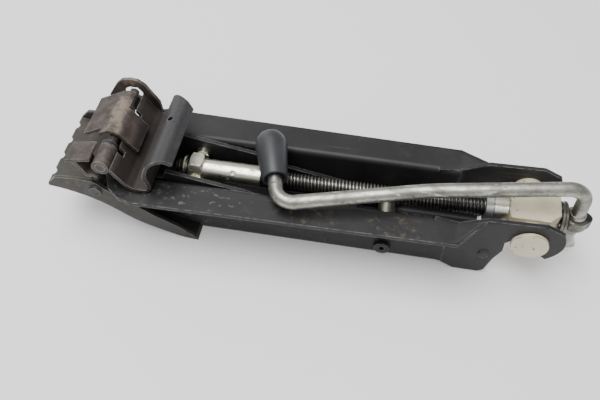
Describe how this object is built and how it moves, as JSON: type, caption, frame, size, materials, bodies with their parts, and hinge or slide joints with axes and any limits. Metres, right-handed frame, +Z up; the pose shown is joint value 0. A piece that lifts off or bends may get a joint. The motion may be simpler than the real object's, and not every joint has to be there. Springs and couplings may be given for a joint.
{
  "type": "car jack",
  "caption": "Folding single-arm screw jack: sheet post with toothed foot, load arm with sill claw, trunnion screw and fold-over crank with grip.",
  "frame": {"origin": "middle of the folded jack on the surface that it lies on", "axes": "+X from the foot along the post to the crank eye, +Y across it, +Z up"},
  "size_m": [0.3796, 0.0934, 0.086],
  "materials": {
    "post_paint": "worn satin black paint",
    "foot_paint": "worn matte paint with brown rust",
    "claw_rust": "worn paint over brown rust",
    "zinc": "zinc plated, lightly brushed",
    "dull_steel": "dull bare steel",
    "crank_zinc": "dull zinc with rubbed marks",
    "black_steel": "blackened, greased steel",
    "ivory": "pale engineering plastic, specked",
    "bronze": "sintered bronze",
    "grip_plastic": "matte moulded plastic"
  },
  "bodies": {
    "stand": {"stand": "post_paint", "stand_rivets": "post_paint", "arm_pivot": "post_paint", "foot_spacers": "foot_paint", "foot_pin": "foot_paint", "arm_pivot_spacer": "zinc"},
    "foot": {"foot": "foot_paint"},
    "arm": {"arm": "post_paint", "nut_pivots": "zinc", "pivot_washers": "zinc"},
    "claw": {"claw": "claw_rust", "claw_housing": "claw_rust", "claw_knuckle": "claw_rust", "claw_saddle": "claw_rust", "claw_pin": "claw_rust", "claw_ear": "claw_rust"},
    "trunnion": {"trunnion_block": "ivory", "trunnion_bush": "bronze"},
    "spindle": {"spindle": "black_steel", "end_washer": "zinc", "end_pin": "black_steel", "collar": "zinc", "front_washer": "dull_steel", "collar_pin": "zinc", "thrust_washer": "black_steel", "ball_race": "dull_steel"},
    "nut": {"nut": "zinc", "nut_sleeve": "zinc", "nut_sleeve_pin": "zinc"},
    "crank": {"crank": "crank_zinc", "crank_ferrule": "crank_zinc"},
    "grip": {"grip": "grip_plastic"}
  },
  "joints": [
    {"name": "arm_lift", "type": "hinge", "parent": "stand", "child": "arm", "pos_m": [0.0518, 0, 0.014], "axis": [0, 1, 0], "range_deg": [0, 100]},
    {"name": "claw_tilt", "type": "hinge", "parent": "arm", "child": "claw", "pos_m": [-0.1433, 0, 0.074], "axis": [0, 1, 0], "range_deg": [-30, 0]},
    {"name": "foot_fold", "type": "hinge", "parent": "stand", "child": "foot", "pos_m": [-0.1543, 0, 0.044], "axis": [0, 1, 0], "range_deg": [0, 60]},
    {"name": "trunnion_swing", "type": "hinge", "parent": "stand", "child": "trunnion", "pos_m": [0.1494, 0, 0.042], "axis": [0, 1, 0], "range_deg": [0, 66.51]},
    {"name": "nut_slide", "type": "slide", "parent": "trunnion", "child": "nut", "axis": [1, 0, 0], "range_m": [0, 0.12314]},
    {"name": "spindle_turn", "type": "hinge", "parent": "trunnion", "child": "spindle", "pos_m": [0.1494, 0, 0.042], "axis": [1, 0, 0], "range_deg": [-300, 0]},
    {"name": "crank_swing", "type": "hinge", "parent": "spindle", "child": "crank", "pos_m": [0.181, 0, 0.042], "axis": [0, 0, 1], "range_deg": [0, 180]},
    {"name": "grip_spin", "type": "hinge", "parent": "crank", "child": "grip", "pos_m": [-0.02724, -0.01691, 0.06142], "axis": [-0.2752, 0.9606, 0.04], "continuous": true}
  ],
  "couplings": [
    {"joint": "foot_fold", "follows": "arm_lift", "ratio": 0.6},
    {"joint": "trunnion_swing", "follows": "arm_lift", "ratio": 0.66503},
    {"joint": "nut_slide", "follows": "arm_lift", "m_per_rad": 0.070523},
    {"joint": "spindle_turn", "follows": "arm_lift", "ratio": -3},
    {"joint": "crank_swing", "follows": "arm_lift", "ratio": 1.8}
  ]
}
